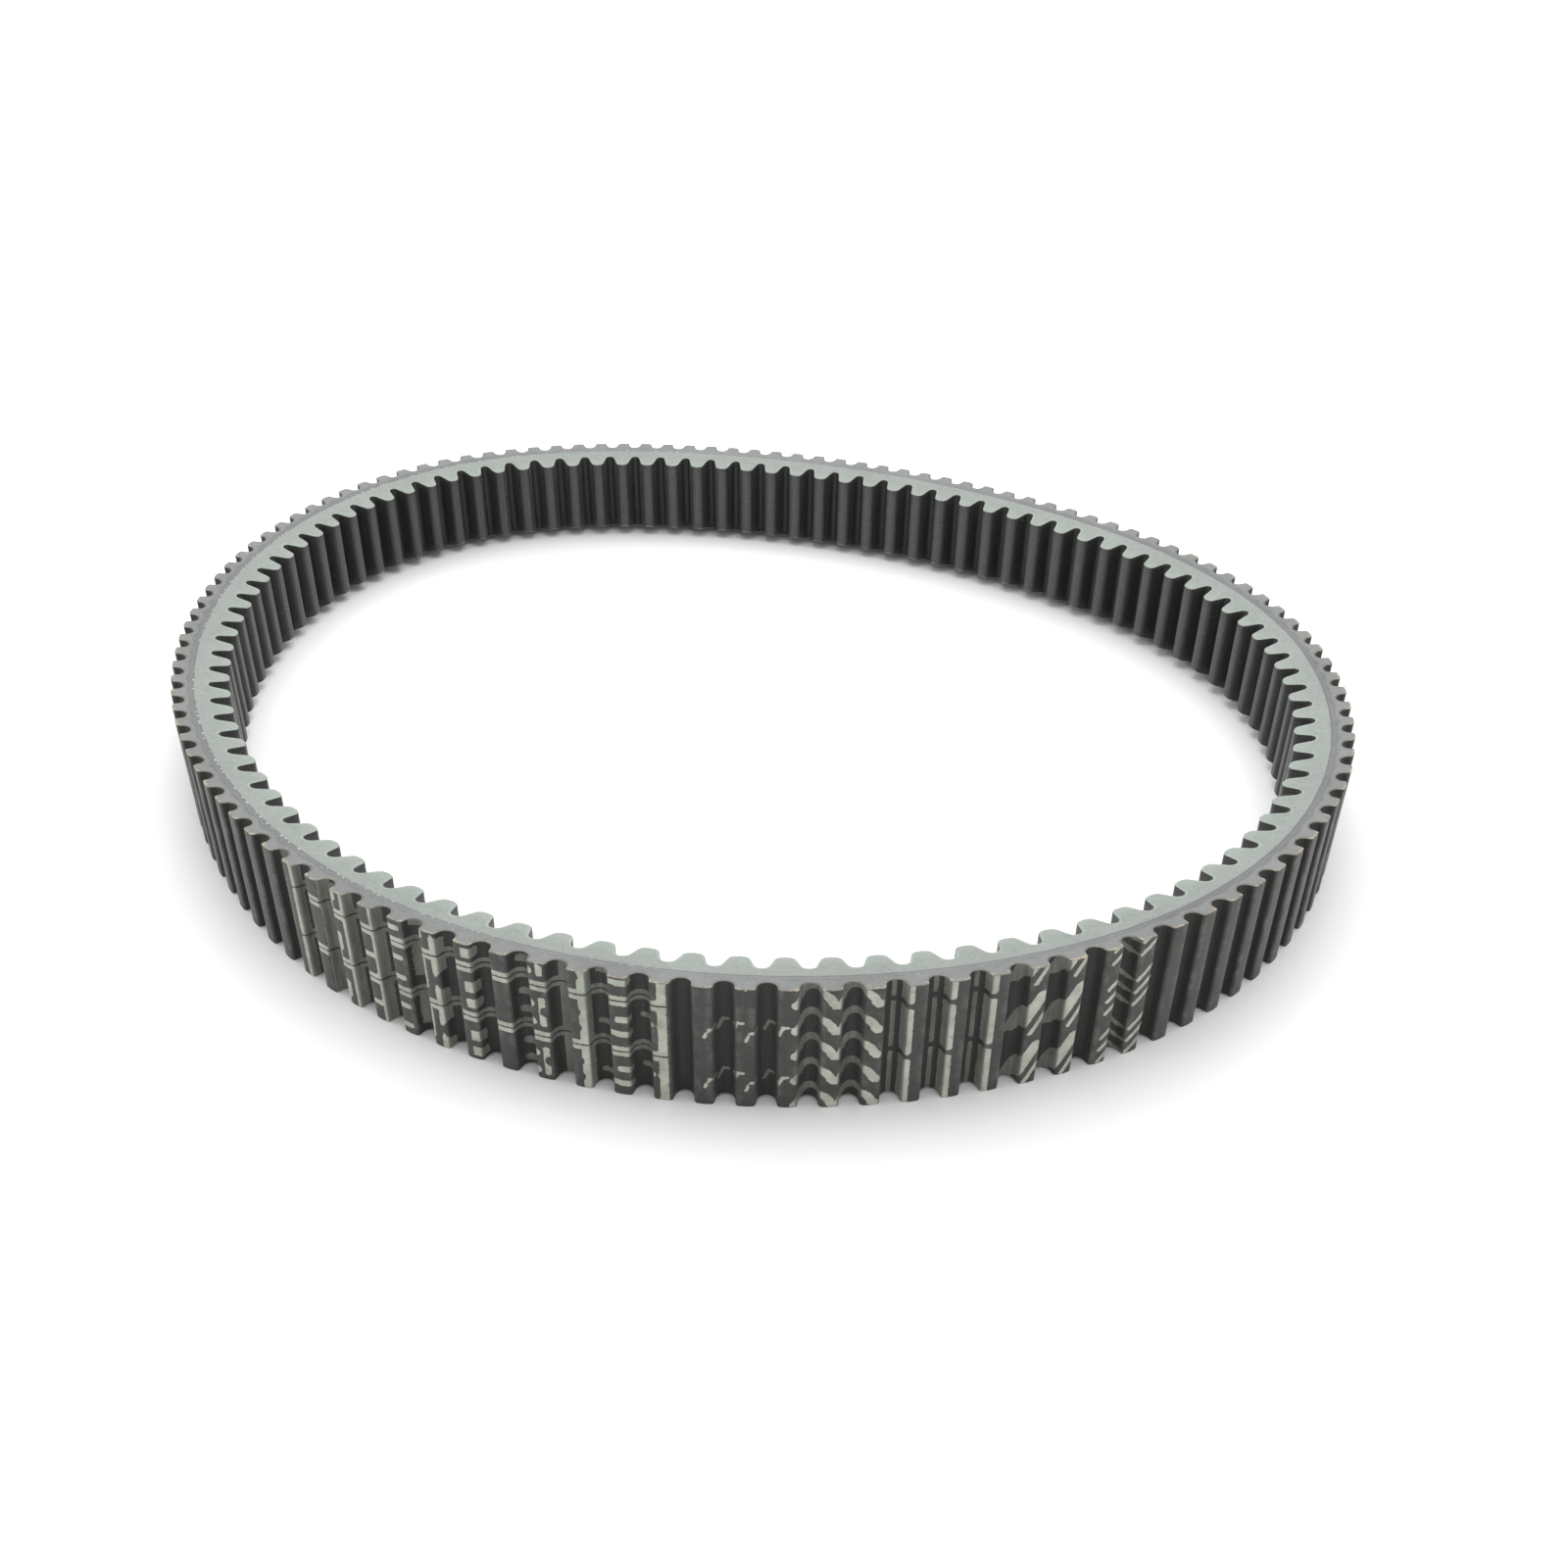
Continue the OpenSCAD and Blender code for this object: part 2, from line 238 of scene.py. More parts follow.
def arch_group(s, z):
    """Second group: dashes, arches with discs, plain bars, slashes and chevrons, less a thin gap."""
    v = np.mod(z - ARCH_LINE, ROW)
    shapes = []
    for s0 in (867.1, 876.5):
        for base in (-6.2, 1.4, 9.0):
            ring = np.abs(np.hypot(s - s0, v - base) - 3.7) - 1.05
            shapes.append(np.maximum(ring, base - v))
            shapes.append(disc_field(s, v, s0 - 4.3, base + 0.2, 1.2))
            shapes.append(disc_field(s, v, s0 + 4.3, base + 0.2, 1.2))
    for s0 in (886.6, 896.1, 905.6):
        shapes.append(box_field(s, v, s0 - 0.4, s0 + 1.9, 0.6, 14.4, 0.3))
        shapes.append(box_field(s, v, s0 - 2.6, s0 - 1.5, 0.6, 14.4, 0.3))
    for s0 in (911.9, 921.6):
        shapes.append(band_field(s, v, s0 + 0.6, 1.2, s0 + 6.6, 12.6, 1.5))
        shapes.append(band_field(s, v, s0 + 4.6, 1.2, s0 + 8.6, 8.8, 0.55))
    for s0 in (939.5, 947.5):
        for lift in (1.5, 5.2, 8.9):
            shapes.append(band_field(s, v, s0 - 3.4, lift, s0, lift + 3.4, 0.55))
            shapes.append(band_field(s, v, s0, lift + 3.4, s0 + 3.4, lift, 0.55))
    for s0, lift in DASHES:
        shapes.append(band_field(s, v, s0 - 0.6, 6.4 + lift, s0 + 0.4, 8.8 + lift, 0.42))
        shapes.append(box_field(s, v, s0 + 0.2, s0 + 1.9, 8.3 + lift, 9.1 + lift, 0.2))
    group = np.minimum.reduce(shapes)
    return np.maximum(group, -(np.abs(np.mod(v + ROW / 2, ROW) - ROW / 2) - 0.25))


def ink_field(s, z):
    """Distance to the nearest ink edge, in mm, below zero inside the ink."""
    return np.minimum(block_group(s, z), arch_group(s, z))


# ---------------------------------------------------------------- meshes
SHARP_ANGLE = math.radians(38)
# Distance to the ink that stands for none near.
NO_INK = 9.0


def finish_mesh(name, points, faces, material_index, materials, attributes, uv=None):
    """Object from points in mm, smooth but for its sharp edges, with its attributes and materials."""
    mesh = bpy.data.meshes.new(name)
    mesh.from_pydata((points * MM).tolist(), [], faces)
    mesh.polygons.foreach_set("material_index", material_index)
    mesh.polygons.foreach_set("use_smooth", [True] * len(faces))
    for key, values in attributes.items():
        mesh.attributes.new(key, "FLOAT", "POINT").data.foreach_set("value", np.asarray(values, np.float32))
    if uv is not None:
        layer = mesh.uv_layers.new(name="surface")
        loops = np.empty(len(mesh.loops), np.int32)
        mesh.loops.foreach_get("vertex_index", loops)
        layer.data.foreach_set("uv", uv[loops].astype(np.float32).ravel())
    for m in materials:
        mesh.materials.append(m)
    mesh.set_sharp_from_angle(angle=SHARP_ANGLE)
    mesh.update()
    ob = bpy.data.objects.new(name, mesh)
    bpy.context.scene.collection.objects.link(ob)
    return ob


def profile_normals(s, d):
    """Unit vectors across the profile, pointing out of the cloth, in cord distance and depth."""
    ds = np.roll(s, -1) - np.roll(s, 1)
    ds = np.where(ds < -LENGTH / 2, ds + LENGTH, ds)
    dd = np.roll(d, -1) - np.roll(d, 1)
    size = np.hypot(ds, dd)
    return dd / size, -ds / size


def cloth(name, face, back, outward, stretches, materials, dent, with_ink):
    """Skin of cloth with fine rows on its face, a small worn edge and flat cut edges on both sides.

    Each stretch is a first and a last station, and how many rows cross the cloth between them.
    """
    fs, fd = face
    bs, bd = back
    ns, nd = profile_normals(fs, fd)
    if not outward:
        ns, nd = -ns, -nd
    steps = np.hypot(np.diff(closed(fs, LENGTH)), np.diff(closed(fd)))
    run = np.concatenate([[0.0], np.cumsum(steps)])
    total = len(fs)
    points, faces, index = [], [], []
    depth_values, ink_values, uvs = [], [], []
    base = 0
    for first, last, rows in stretches:
        ks = np.arange(first, last + 1)
        k = np.mod(ks, total)
        again = ks >= total
        lap = np.where(again, LENGTH, 0.0)
        s, d = fs[k] + lap, fd[k]
        z1, z0 = upper(d) - WORN_EDGE, lower(d) + WORN_EDGE
        rings = []
        for j in range(rows + 1):
            z = z0 + (z1 - z0) * j / rows
            sink = np.array([
                dent * (0.5 + 0.5 * rough(a, b, 0.11, 3.1) + 0.35 * rough(a, b, 0.45, 7.7))
                for a, b in zip(s, z)
            ])
            rings.append((s - ns[k] * sink, d - nd[k] * sink, z))
        bottom, top = rings[0], rings[-1]
        into_s, into_d = -ns[k] * WORN_EDGE * 0.8, -nd[k] * WORN_EDGE * 0.8
        rings.append((top[0] + into_s, top[1] + into_d, upper(top[1] + into_d)))
        rings.append((bs[k] + lap, bd[k], upper(bd[k])))
        rings.append((bs[k] + lap, bd[k], lower(bd[k])))
        rings.append((bottom[0] + into_s, bottom[1] + into_d, lower(bottom[1] + into_d)))
        inked = with_ink and rows == INK_ROWS
        along = (run[k] + np.where(again, run[-1], 0.0)) * MM
        for ss, dd, z in rings:
            points.append(np.c_[place(ss, dd), z])
            depth_values.append(dd)
            ink_values.append(ink_field(np.mod(ss, LENGTH), z) if inked else np.full(len(ss), NO_INK))
            uvs.append(np.c_[along, z * MM])
        m, n = len(ks), len(rings)
        back_ring = n - 3
        for j in range(n):
            cut = 1 if j >= rows and j != back_ring else 0
            a, b = base + j * m, base + (j + 1) % n * m
            for c in range(m - 1):
                quad = (a + c, a + c + 1, b + c + 1, b + c)
                faces.append(quad if outward else quad[::-1])
                index.append(cut)
        base += n * m
    attributes = {"depth": np.concatenate(depth_values)}
    if with_ink:
        attributes["ink"] = np.concatenate(ink_values).clip(-3, NO_INK)
    return finish_mesh(name, np.concatenate(points), faces, index, materials, attributes, np.concatenate(uvs))


def band(name, near, far, outward, materials, tip_phase, count):
    """Closed rubber body between two depth lines on the same stations, its sides ground flat."""
    (s1, d1), (s2, d2) = near, far
    total = len(s1)
    pitch = LENGTH / count
    shares = (0.0, 1 / 3, 2 / 3, 1.0)
    lines = [(s1 + (s2 - s1) * w, d1 + (d2 - d1) * w) for w in shares]
    rings = [(s1, d1, lower(d1))]
    rings += [(ss, dd, upper(dd)) for ss, dd in lines]
    rings += [(ss, dd, lower(dd)) for ss, dd in reversed(lines[1:])]
    points = [np.c_[place(ss, dd), z] for ss, dd, z in rings]
    faces = []
    n = len(rings)
    for j in range(n):
        a, b = j * total, (j + 1) % n * total
        for c in range(total):
            e = (c + 1) % total
            quad = (a + c, a + e, b + e, b + c)
            faces.append(quad if outward else quad[::-1])
    attributes = {
        "depth": np.concatenate([dd for _, dd, _ in rings]),
        "phase": np.concatenate([np.cos(2 * math.pi * (ss - tip_phase) / pitch) for ss, _, _ in rings]),
    }
    return finish_mesh(name, np.concatenate(points), faces, [0] * len(faces), materials, attributes)


# ---------------------------------------------------------------- material helpers
class Tree:
    """A material's node tree with short calls. Inputs are numbers, colours or sockets.

    Every colour is scaled by the tree's level.
    """

    def __init__(self, name, level=0.77):
        self.level = level
        self.material = bpy.data.materials.new(name)
        self.material.use_nodes = True
        self.nt = self.material.node_tree
        self.nt.nodes.clear()
        self.out = self.nt.nodes.new("ShaderNodeOutputMaterial")

    def put(self, socket, value):
        if isinstance(value, bpy.types.NodeSocket):
            self.nt.links.new(value, socket)
        elif isinstance(value, tuple) and socket.type == "RGBA":
            socket.default_value = (*(c * self.level for c in value), 1.0)
        else:
            socket.default_value = value

    def node(self, kind, inputs=None, **props):
        n = self.nt.nodes.new("ShaderNode" + kind)
        for key, value in props.items():
            setattr(n, key, value)
        for key, value in (inputs or {}).items():
            self.put(n.inputs[key], value)
        return n

    def math(self, op, a, b=0.0, clamp=False):
        n = self.node("Math", operation=op, use_clamp=clamp)
        self.put(n.inputs[0], a)
        self.put(n.inputs[1], b)
        return n.outputs[0]

    def plus(self, a, b, clamp=False):
        return self.math("ADD", a, b, clamp)

    def minus(self, a, b):
        return self.math("SUBTRACT", a, b)

    def times(self, a, b):
        return self.math("MULTIPLY", a, b)

    def step(self, value, low, high):
        inputs = {"Value": value, "From Min": low, "From Max": high}
        return self.node("MapRange", inputs, interpolation_type="SMOOTHSTEP").outputs["Result"]

    def span(self, value, low, high, to_low, to_high):
        inputs = {"Value": value, "From Min": low, "From Max": high, "To Min": to_low, "To Max": to_high}
        return self.node("MapRange", inputs).outputs["Result"]

    def mix(self, factor, a, b, blend="MIX"):
        n = self.node("Mix", data_type="RGBA", blend_type=blend)
        self.put(n.inputs[0], factor)
        self.put(n.inputs[6], a)
        self.put(n.inputs[7], b)
        return n.outputs[2]

    def over(self, base, colour, cover, share):
        """A colour laid over a base where cover is 1, and no more than by share."""
        return self.mix(self.times(cover, share), base, colour)

    def attribute(self, name):
        return self.node("Attribute", attribute_name=name).outputs["Fac"]

    def position(self):
        return self.node("TexCoord").outputs["Object"]

    def axis(self, vector, name):
        return self.node("SeparateXYZ", {"Vector": vector}).outputs[name]

    def surface(self):
        return self.node("UVMap", uv_map="surface").outputs["UV"]

    def scaled(self, vector, scale):
        return self.node("Mapping", {"Vector": vector, "Scale": scale}).outputs["Vector"]

    def noise(self, vector, scale, detail=3.0, rough=0.55):
        inputs = {"Vector": vector, "Scale": scale, "Detail": detail, "Roughness": rough}
        return self.node("TexNoise", inputs).outputs["Fac"]

    def cells(self, vector, scale):
        return self.node("TexVoronoi", {"Vector": vector, "Scale": scale}).outputs["Distance"]

    def wave(self, vector, scale, direction, distortion):
        inputs = {"Vector": vector, "Scale": scale, "Distortion": distortion}
        return self.node("TexWave", inputs, bands_direction=direction).outputs["Fac"]

    def bump(self, height, distance, strength, normal=None):
        n = self.node("Bump", {"Height": height, "Distance": distance, "Strength": strength})
        if normal is not None:
            self.put(n.inputs["Normal"], normal)
        return n.outputs["Normal"]

    def shade(self, colour, roughness, normal, specular, **numbers):
        inputs = {key.replace("_", " "): value for key, value in numbers.items()}
        inputs.update({"Base Color": colour, "Roughness": roughness, "Normal": normal})
        inputs["Specular IOR Level"] = specular
        self.nt.links.new(self.node("BsdfPrincipled", inputs).outputs[0], self.out.inputs[0])
        return self.material


def flank_depth(t, pos):
    """Depth below the outer cog tips on the ground sides, from the height alone, in mm."""
    off = t.math("ABSOLUTE", t.minus(t.times(t.axis(pos, "Z"), 1 / MM), WIDTH / 2))
    drop = t.minus(WIDTH / 2, off)
    knee = CORD * UPPER_SLOPE
    first = t.math("DIVIDE", t.math("MINIMUM", drop, knee), UPPER_SLOPE)
    second = t.math("DIVIDE", t.math("MAXIMUM", t.minus(drop, knee), 0.0), LOWER_SLOPE)
    return t.plus(first, second)


def ground_relief(t, vector, amount=1.0):
    """Fine grinding marks and short cut fibres of a ground rubber side."""
    grain = t.times(t.noise(vector, 1900.0, 4.0, 0.65), 0.5)
    patches = t.times(t.noise(vector, 260.0, 3.0, 0.6), 0.35)
    pits = t.times(t.cells(vector, 950.0), 0.25)
    return t.bump(t.plus(grain, t.plus(patches, pits)), 0.00012 * amount, 0.55)


def ground_tone(t, vector, colour, spread=0.16):
    """A ground rubber's colour, with cloudy patches, dust and specks."""
    clouds = t.span(t.noise(vector, 38.0, 4.0, 0.6), 0.3, 0.7, 1 - spread * 0.5, 1 + spread * 0.5)
    mottle = t.span(t.noise(vector, 210.0, 3.0, 0.6), 0.25, 0.75, -spread * 0.35, spread * 0.35)
    grain = t.span(t.noise(vector, 1500.0, 2.0, 0.6), 0.2, 0.8, -spread * 0.4, spread * 0.4)
    level = t.plus(t.plus(clouds, mottle), grain)
    grey = t.node("CombineColor", {"Red": level, "Green": level, "Blue": level}).outputs[0]
    tone = t.mix(1.0, colour, grey, "MULTIPLY")
    tone = t.over(tone, (0.62, 0.64, 0.58), t.step(t.cells(vector, 420.0), 0.16, 0.08), 0.22)
    tone = t.over(tone, (0.13, 0.14, 0.13), t.step(t.noise(vector, 880.0, 2.0, 0.6), 0.47, 0.33), 0.22)
    return t.over(tone, (0.10, 0.11, 0.105), t.step(t.noise(vector, 620.0, 1.0, 0.5), 0.69, 0.76), 0.3)


def weave_relief(t, uv, pos):
    """Height of a bias-cut weave, two sets of threads that cross at a slant, with its fuzz."""
    turned = t.node("Mapping", {"Vector": uv, "Rotation": (0, 0, math.radians(45))}).outputs["Vector"]
    threads = t.math("MAXIMUM", t.wave(turned, 340.0, "X", 0.6), t.wave(turned, 340.0, "Y", 0.6))
    fuzz = t.noise(pos, 4200.0, 2.0, 0.7)
    return t.plus(t.times(threads, 0.5), t.times(fuzz, 0.5))


# Colours of the ground sides: the outer cogs' rubber, the gum near the seam, the inner cogs' rubber.
MAUVE = (0.226, 0.236, 0.226)
SEAM = (0.176, 0.182, 0.177)
PALE = (0.305, 0.334, 0.308)
# Depth at which the sliced cord shows on the sides.
CORD_LINE = 6.32


# ---------------------------------------------------------------- materials
def printed_cloth():
    t = Tree("outer_facing_cloth_face")
    uv, pos = t.surface(), t.position()
    depth, ink = t.attribute("depth"), t.attribute("ink")
    valley = t.step(depth, 0.12, 1.1)
    shoulder = t.times(t.step(depth, 0.03, 0.14), t.step(depth, 0.9, 0.3))
    streaks = t.noise(t.scaled(uv, (1500.0, 30.0, 1.0)), 1.0, 2.0, 0.6)
    clouds = t.noise(pos, 55.0, 4.0, 0.6)
    grain = t.noise(pos, 2600.0, 2.0, 0.7)
    # Darker down in the valleys, here and in the faded and greenish tones below: painted shade where the
    # valleys lie in shadow.
    base = t.mix(valley, (0.050, 0.047, 0.044), (0.0195, 0.0200, 0.0185))
    faded = t.mix(valley, (0.066, 0.060, 0.056), (0.026, 0.026, 0.023))
    base = t.mix(t.step(clouds, 0.35, 0.75), base, faded)
    base = t.over(base, (0.085, 0.083, 0.078), t.step(streaks, 0.45, 0.8), 0.35)
    base = t.over(base, (0.115, 0.108, 0.098), t.step(grain, 0.54, 0.72), 0.5)
    base = t.over(base, (0.016, 0.016, 0.015), t.step(t.noise(pos, 1500.0, 2.0, 0.6), 0.44, 0.30), 0.5)
    greenish = t.mix(valley, (0.066, 0.070, 0.056), (0.024, 0.031, 0.022))
    base = t.over(base, greenish, t.step(t.noise(pos, 130.0, 3.0, 0.6), 0.45, 0.62), 0.35)
    # Lighter shoulders on the cogs: partly wear, partly a painted highlight where the shoulders catch the
    # light.
    wear_and_sheen = t.times(shoulder, t.step(t.noise(pos, 190.0, 3.0, 0.7), 0.42, 0.68))
    base = t.over(base, (0.19, 0.185, 0.17), wear_and_sheen, 0.5)
    # The ink is thin: pale on the tops, duller where it runs down into the valleys, and broken by the weave.
    edge = t.plus(ink, t.span(t.noise(pos, 1300.0, 2.0, 0.6), 0.3, 0.7, -0.10, 0.10))
    worn = t.minus(1.0, t.times(t.step(t.noise(pos, 900.0, 3.0, 0.7), 0.60, 0.72), 0.5))
    thin = t.span(t.step(t.noise(pos, 120.0, 3.0, 0.6), 0.30, 0.55), 0.0, 1.0, 0.74, 0.98)
    film = t.times(t.step(edge, 0.07, -0.09), t.times(worn, thin))
    patches = t.step(t.noise(pos, 300.0, 2.0, 0.5), 0.35, 0.7)
    fresh = t.mix(patches, (0.54, 0.57, 0.47), (0.66, 0.685, 0.585))
    runs = t.step(t.noise(t.scaled(uv, (900.0, 60.0, 1.0)), 1.0, 2.0, 0.5), 0.35, 0.7)
    dull = t.mix(runs, (0.175, 0.185, 0.155), (0.250, 0.262, 0.225))
    colour = t.mix(film, base, t.mix(t.step(depth, 0.09, 0.45), fresh, dull))
    height = t.plus(weave_relief(t, uv, pos), t.times(film, 0.35))
    normal = t.bump(height, 0.00006, 0.7)
    normal = t.bump(t.noise(pos, 240.0, 3.0, 0.6), 0.00022, 0.5, normal)
    roughness = t.plus(t.span(grain, 0.2, 0.8, 0.50, 0.68), t.times(film, 0.05))
    return t.shade(colour, roughness, normal, 0.42, Sheen_Weight=0.12, Sheen_Roughness=0.5)


def cut_cloth(name, rubber, thread, reach, rim):
    """Edge of a cloth that was ground flush with the side: frayed threads over the rubber's tone."""
    t = Tree(name)
    pos = t.position()
    depth = t.attribute("depth")
    frayed = t.step(t.noise(pos, 520.0, 3.0, 0.75), 0.40, 0.62)
    dark_thread = tuple(c * 0.55 for c in thread)
    threads = t.mix(t.step(t.noise(pos, 1700.0, 2.0, 0.6), 0.4, 0.65), thread, dark_thread)
    colour = t.over(ground_tone(t, pos, rubber), threads, t.times(frayed, t.step(depth, *reach)), 0.85)
    colour = t.over(colour, thread, t.step(t.noise(pos, 700.0, 2.0, 0.6), 0.5, 0.7), rim)
    return t.shade(colour, t.span(t.noise(pos, 800.0), 0.3, 0.7, 0.75, 0.92), ground_relief(t, pos, 1.6), 0.3)


def seam_tone(t, pos):
    """The seam's colour: darker at the two ends of the loop than along its front and back."""
    side = t.step(t.math("ABSOLUTE", t.axis(pos, "X")), 0.05, 0.13)
    drift = t.span(t.noise(pos, 9.0, 2.0, 0.5), 0.3, 0.7, -0.2, 0.2)
    return t.mix(t.plus(side, drift, clamp=True), MAUVE, SEAM)


def outer_rubber():
    t = Tree("outer_rubber_ground")
    pos = t.position()
    depth, phase = t.attribute("depth"), t.attribute("phase")
    wander = t.span(t.noise(pos, 90.0, 2.0, 0.5), 0.3, 0.7, -0.25, 0.25)
    line = t.plus(t.minus(4.45, t.times(phase, 0.5)), wander)
    dark = t.step(t.minus(depth, line), -0.35, 0.45)
    colour = t.mix(dark, ground_tone(t, pos, MAUVE, 0.2), ground_tone(t, pos, seam_tone(t, pos), 0.2))
    return t.shade(colour, t.span(t.noise(pos, 420.0), 0.3, 0.7, 0.52, 0.70), ground_relief(t, pos), 0.45)


def cushion_gum():
    t = Tree("cushion_gum_ground")
    pos = t.position()
    depth = flank_depth(t, pos)
    wander = t.span(t.noise(pos, 110.0, 2.0, 0.5), 0.3, 0.7, -0.12, 0.12)
    pale = t.step(t.plus(depth, wander), 6.25, 6.75)
    colour = t.mix(pale, ground_tone(t, pos, seam_tone(t, pos), 0.2), ground_tone(t, pos, PALE, 0.12))
    # The outermost turn is sliced by the grinding, so its strand ends show as a dotted line on one half.
    off_line = t.math("ABSOLUTE", t.minus(depth, CORD_LINE))
    near_line = t.minus(1.0, t.step(off_line, 0.16, 0.34))
    dots = t.step(t.cells(pos, 820.0), 0.40, 0.22)
    patchy = t.span(t.step(t.noise(pos, 14.0, 2.0, 0.5), 0.36, 0.52), 0.0, 1.0, 0.35, 1.0)
    sliced = t.times(patchy, t.step(t.axis(pos, "X"), 0.0, -0.045))
    colour = t.over(colour, (0.105, 0.102, 0.098), near_line, 0.42)
    colour = t.mix(t.times(near_line, t.times(dots, sliced)), colour, (0.66, 0.63, 0.54))
    return t.shade(colour, t.span(t.noise(pos, 420.0), 0.3, 0.7, 0.50, 0.68), ground_relief(t, pos), 0.45)


def inner_rubber():
    t = Tree("inner_rubber_ground")
    pos = t.position()
    depth = t.attribute("depth")
    tone = ground_tone(t, pos, PALE, 0.12)
    tone = t.over(tone, (0.43, 0.48, 0.42), t.step(depth, 11.0, 15.5), 0.25)
    fibres = t.cells(t.scaled(pos, (1.0, 1.0, 0.35)), 1500.0)
    tone = t.over(tone, (0.55, 0.58, 0.52), t.step(fibres, 0.2, 0.1), 0.35)
    scuff = t.step(t.noise(pos, 11.0, 4.0, 0.7), 0.66, 0.74)
    tone = t.over(tone, (0.50, 0.55, 0.58), scuff, 0.35)
    return t.shade(tone, t.span(t.noise(pos, 380.0), 0.3, 0.7, 0.50, 0.68), ground_relief(t, pos), 0.45)


def inner_cloth_face():
    t = Tree("inner_facing_cloth_face")
    uv, pos = t.surface(), t.position()
    z = t.axis(pos, "Z")
    top = t.math("POWER", t.step(t.attribute("depth"), 15.7, 16.62), 1.5)
    grain = t.noise(pos, 2400.0, 2.0, 0.7)
    streaks = t.noise(t.scaled(uv, (1300.0, 24.0, 1.0)), 1.0, 3.0, 0.6)
    # Near-black in the valleys, lighter on the tips: partly wear on the tips, partly painted shade in the
    # valleys and painted light on the rounded tips.
    base = t.mix(top, (0.0135, 0.0135, 0.0130), (0.092, 0.092, 0.085))
    base = t.over(base, (0.062, 0.058, 0.055), t.step(streaks, 0.45, 0.78), 0.5)
    flecks = t.step(t.noise(pos, 1100.0, 3.0, 0.7), 0.52, 0.66)
    base = t.over(base, (0.15, 0.15, 0.135), flecks, t.span(top, 0.0, 1.0, 0.12, 0.6))
    base = t.over(base, (0.085, 0.083, 0.076), t.step(grain, 0.55, 0.8), 0.4)
    # The tips are lighter in patches towards the lower side and frayed along its edge.
    low = t.times(t.step(z, 0.0105, 0.0035), t.step(t.noise(pos, 130.0, 3.0, 0.6), 0.38, 0.62))
    base = t.over(base, (0.13, 0.13, 0.135), t.times(low, top), 0.35)
    rim = t.times(t.step(z, 0.0046, 0.0041), t.step(t.noise(pos, 420.0, 3.0, 0.7), 0.46, 0.58))
    base = t.over(base, (0.42, 0.42, 0.40), t.times(rim, top), 0.8)
    base = t.over(base, (0.32, 0.31, 0.27), t.step(t.cells(pos, 210.0), 0.075, 0.03), 0.5)
    normal = t.bump(weave_relief(t, uv, pos), 0.00006, 0.7)
    normal = t.bump(t.noise(pos, 240.0, 3.0, 0.6), 0.0002, 0.5, normal)
    roughness = t.span(grain, 0.2, 0.8, 0.42, 0.60)
    return t.shade(base, roughness, normal, 0.5, Sheen_Weight=0.10, Sheen_Roughness=0.5)


def twisted_cord():
    t = Tree("tension_cord_twisted")
    pos = t.position()
    ply = t.wave(pos, 420.0, "DIAGONAL", 2.5)
    fibre = t.noise(pos, 5200.0, 3.0, 0.6)
    colour = t.mix(ply, (0.36, 0.31, 0.21), (0.62, 0.57, 0.44))
    colour = t.over(colour, (0.30, 0.25, 0.17), fibre, 0.4)
    height = t.plus(t.times(ply, 0.7), t.times(fibre, 0.3))
    return t.shade(colour, t.span(fibre, 0.3, 0.7, 0.55, 0.75), t.bump(height, 0.00012, 0.8), 0.4)


# ---------------------------------------------------------------- the belt
OUTER_FACE, OUTER_BACK = cloth_profiles(OUTER_COGS, OUTER_PHASE, 0.0, 1, *OUTER_VALLEY)
INNER_FACE, INNER_BACK = cloth_profiles(INNER_COGS, INNER_PHASE, THICK, -1, *INNER_VALLEY)

columns = len(OUTER_FACE[0])
per_cog = columns // OUTER_COGS
outer_pitch = LENGTH / OUTER_COGS
print_from = int((PRINT_START - OUTER_PHASE) / outer_pitch) * per_cog
print_to = (int((PRINT_END - OUTER_PHASE) / outer_pitch) + 1) * per_cog

face_cloth = printed_cloth()
outer_edge = cut_cloth(
    "outer_facing_cloth_edge", (0.225, 0.218, 0.205), (0.60, 0.52, 0.38), (2.0, 0.9), 0.2,
)
outer_cloth = cloth(
    "outer_facing_cloth_woven", OUTER_FACE, OUTER_BACK, True,
    [(print_from, print_to, INK_ROWS), (print_to, columns + print_from, PLAIN_ROWS)],
    [face_cloth, outer_edge], OUTER_DENT, True,
)
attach(outer_cloth, BODY)
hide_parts("outer_facing_cloth")

inner_columns = len(INNER_FACE[0])
inner_edge = cut_cloth(
    "inner_facing_cloth_edge", (0.385, 0.435, 0.385), (0.50, 0.53, 0.46), (9.0, 8.0), 0.25,
)
inner_cloth = cloth(
    "inner_facing_cloth_woven", INNER_FACE, INNER_BACK, False,
    [(0, inner_columns, PLAIN_ROWS)], [inner_cloth_face(), inner_edge], INNER_DENT, False,
)
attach(inner_cloth, BODY)
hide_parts("inner_facing_cloth")

outer_body = band(
    "outer_cog_rubber_ground", OUTER_BACK, (OUTER_BACK[0], np.full(columns, OUTER_RUBBER_END)), True,
    [outer_rubber()], OUTER_PHASE, OUTER_COGS,
)
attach(outer_body, BODY)
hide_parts("outer_cog_rubber")

inner_body = band(
    "inner_cog_rubber_ground", INNER_BACK, (INNER_BACK[0], np.full(inner_columns, INNER_RUBBER_START)),
    False, [inner_rubber()], INNER_PHASE, INNER_COGS,
)
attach(inner_body, BODY)
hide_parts("inner_cog_rubber")

gum, cord = cushion_gum(), twisted_cord()
for name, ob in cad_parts.items():
    wanted = gum if "cushion" in name else cord if name.startswith("tension_cord") else None
    if wanted is not None:
        for slot in ob.material_slots:
            slot.material = wanted


# ---------------------------------------------------------------- floor, light and camera
FLOOR_REACH = 20


def floor_material():
    t = Tree("floor_white", 1.0)
    pos = t.position()
    colour = t.mix(t.noise(pos, 9.0, 4.0, 0.6), (0.86, 0.855, 0.85), (0.90, 0.90, 0.895))
    return t.shade(colour, 0.6, t.bump(t.noise(pos, 500.0, 2.0, 0.5), 0.0001, 0.2), 0.3)


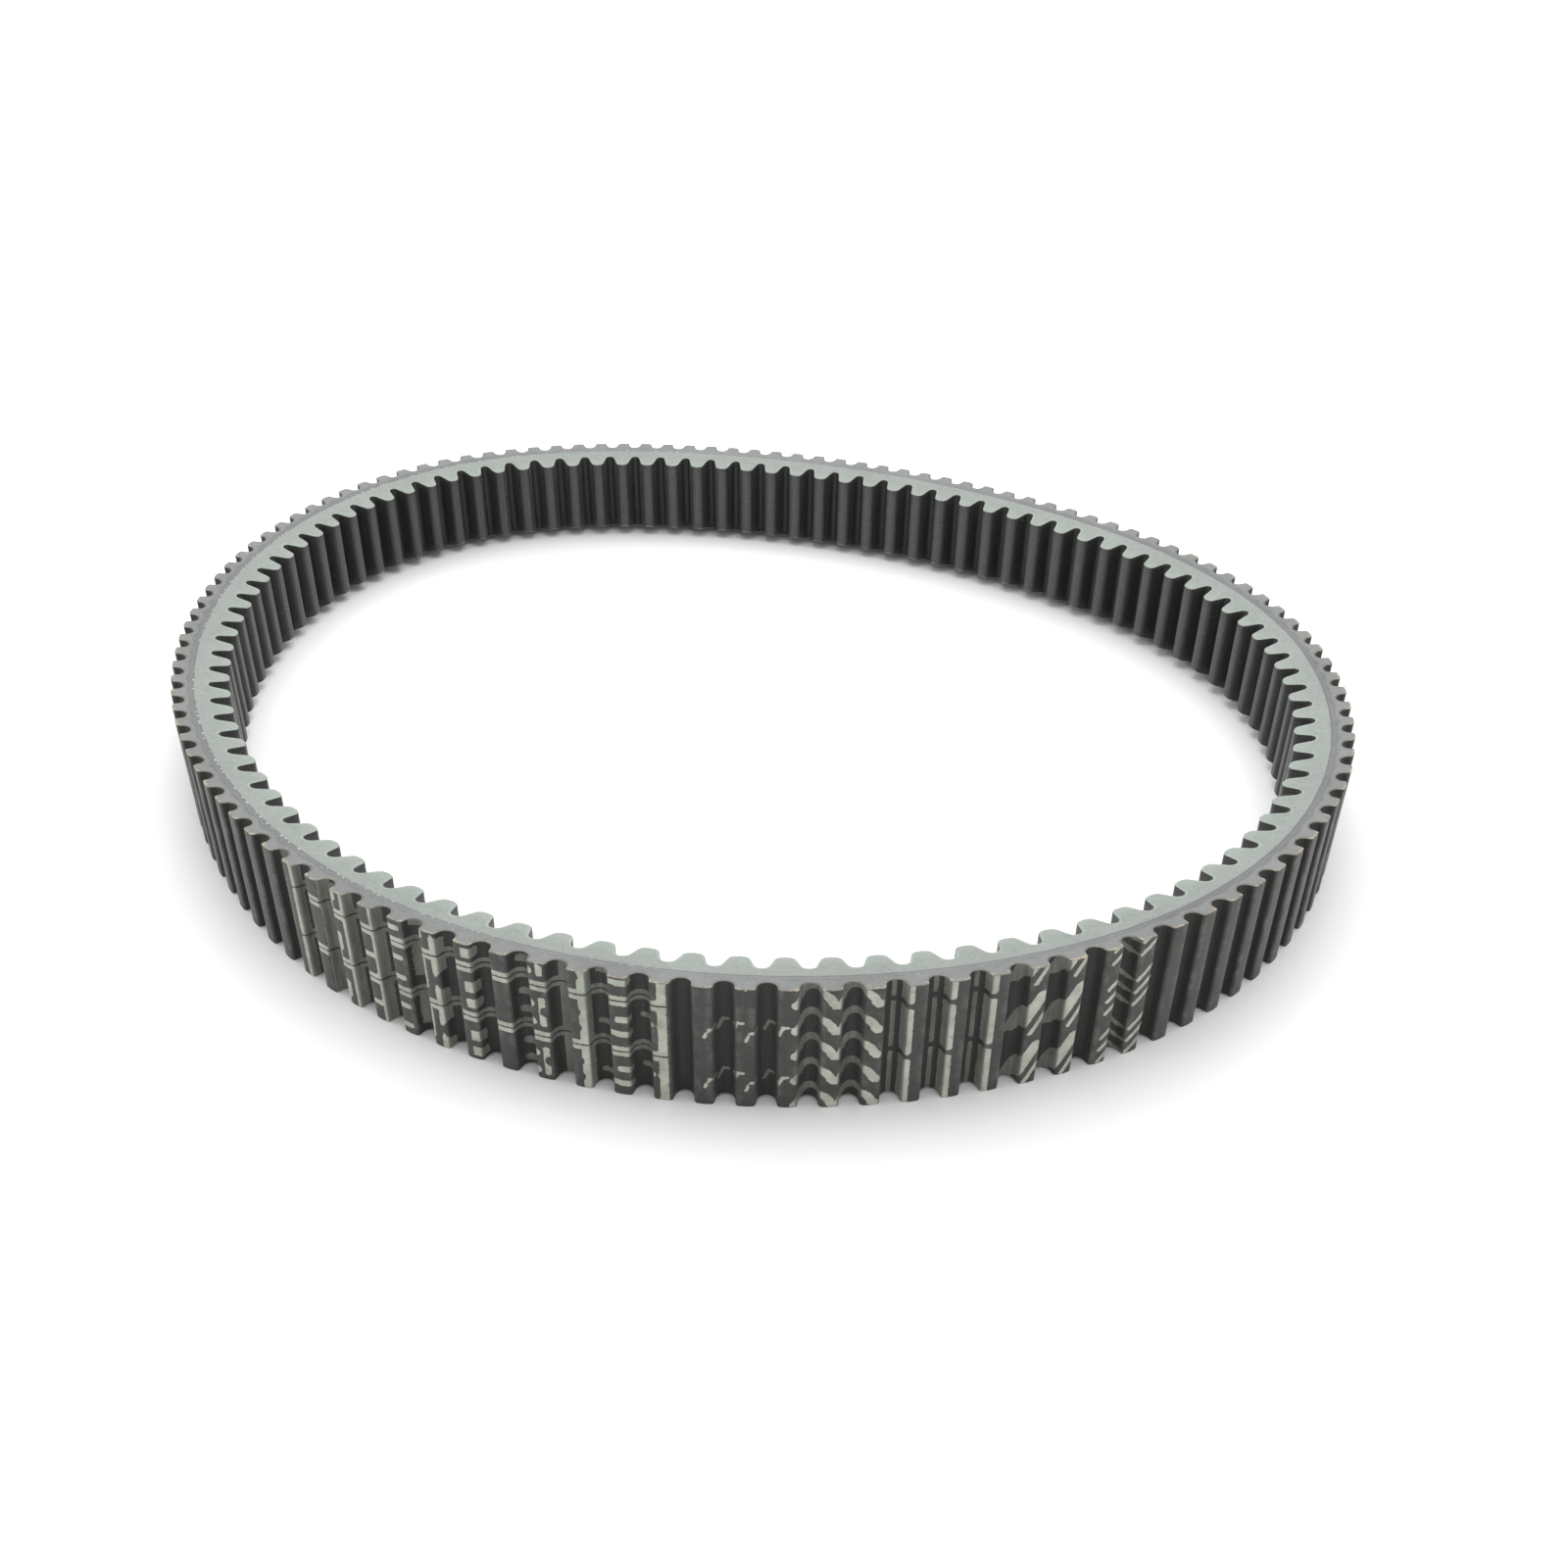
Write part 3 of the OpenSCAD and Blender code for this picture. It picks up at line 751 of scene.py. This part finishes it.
floor_mesh = bpy.data.meshes.new("floor")
floor_corners = [(x * FLOOR_REACH, y * FLOOR_REACH, 0) for x, y in ((-1, -1), (1, -1), (1, 1), (-1, 1))]
floor_mesh.from_pydata(floor_corners, [], [(0, 1, 2, 3)])
floor_mesh.materials.append(floor_material())
floor = bpy.data.objects.new("floor", floor_mesh)
bpy.context.scene.collection.objects.link(floor)

world = bpy.data.worlds.new("studio")
bpy.context.scene.world = world
world.use_nodes = True
sky = world.node_tree.nodes["Background"].inputs
sky["Color"].default_value = (0.97, 0.98, 1.0, 1.0)
sky["Strength"].default_value = 0.66


def lamp(name, spot, target, size, watts, colour):
    """Rectangular area lamp at a spot, facing a target, in metres."""
    data = bpy.data.lights.new(name, "AREA")
    data.shape = "RECTANGLE"
    data.size, data.size_y = size
    data.energy = watts
    data.color = colour
    ob = bpy.data.objects.new(name, data)
    ob.location = spot
    ob.rotation_euler = (Vector(target) - Vector(spot)).to_track_quat("-Z", "Y").to_euler()
    bpy.context.scene.collection.objects.link(ob)


lamp("overhead", (0.10, 0.25, 1.9), (0.0, 0.05, 0.0), (2.4, 1.8), 35.0, (1.0, 1.0, 0.99))
lamp("overhead_far", (0.25, 3.3, 2.3), (0.35, 3.5, 0.0), (4.0, 2.6), 95.0, (1.0, 1.0, 1.0))
lamp("window_left", (-1.6, 0.5, 1.1), (0.0, 0.0, 0.0), (1.0, 0.8), 7.5, (0.95, 0.98, 1.0))

view = bpy.context.scene.view_settings
view.view_transform = "Standard"
view.look = "None"

camera_data = bpy.data.cameras.new("camera")
camera_data.sensor_width = 36.0
camera_data.lens = 32.574
camera_data.clip_start = 0.01
camera_data.clip_end = 60.0
camera = bpy.data.objects.new("camera", camera_data)
rotation = Matrix((
    (0.9997962, -0.0189880, 0.0068617),
    (0.0159370, 0.5335708, -0.8456052),
    (0.0123952, 0.8455422, 0.5337647),
))
camera.matrix_world = Matrix.Translation((0.016695, -0.420945, 0.241210)) @ rotation.to_4x4()
bpy.context.scene.collection.objects.link(camera)
bpy.context.scene.camera = camera

bpy.context.view_layer.update()
